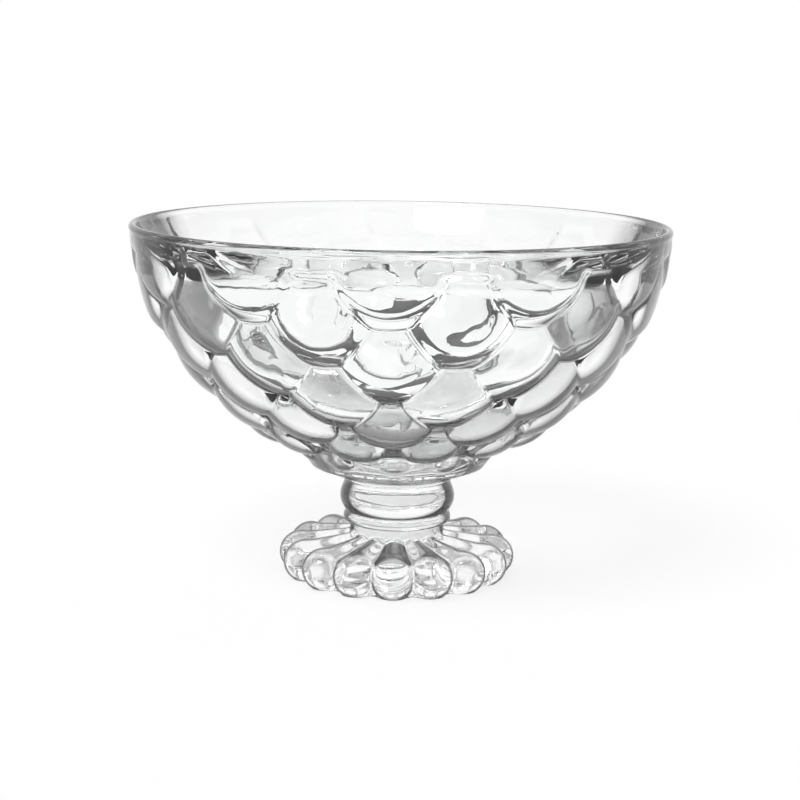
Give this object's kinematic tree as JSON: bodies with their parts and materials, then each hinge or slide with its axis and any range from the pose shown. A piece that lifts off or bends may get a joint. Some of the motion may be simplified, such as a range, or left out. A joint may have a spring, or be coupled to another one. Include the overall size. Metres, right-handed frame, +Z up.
{
  "type": "footed ice cream bowl",
  "caption": "Clear pressed-glass ice cream bowl with overlapping fish-scale relief outside, a plain lip band, a round knop over a bead collar and a scalloped petal foot.",
  "frame": {"origin": "centre of the plane the foot rests on, on the bowl's axis", "axes": "+Z up along the bowl's axis; -Y is the front, with a first-row scale and a petal facing it"},
  "size_m": [0.12, 0.12, 0.08],
  "materials": {
    "bowl_glass": "fire-polished clear pressed glass",
    "knop_glass": "clear glass",
    "collar_glass": "clear glass",
    "foot_glass": "clear pressed glass"
  },
  "bodies": {
    "root": {"bowl": "bowl_glass", "knop": "knop_glass", "collar": "collar_glass", "foot": "foot_glass"}
  },
  "joints": []
}
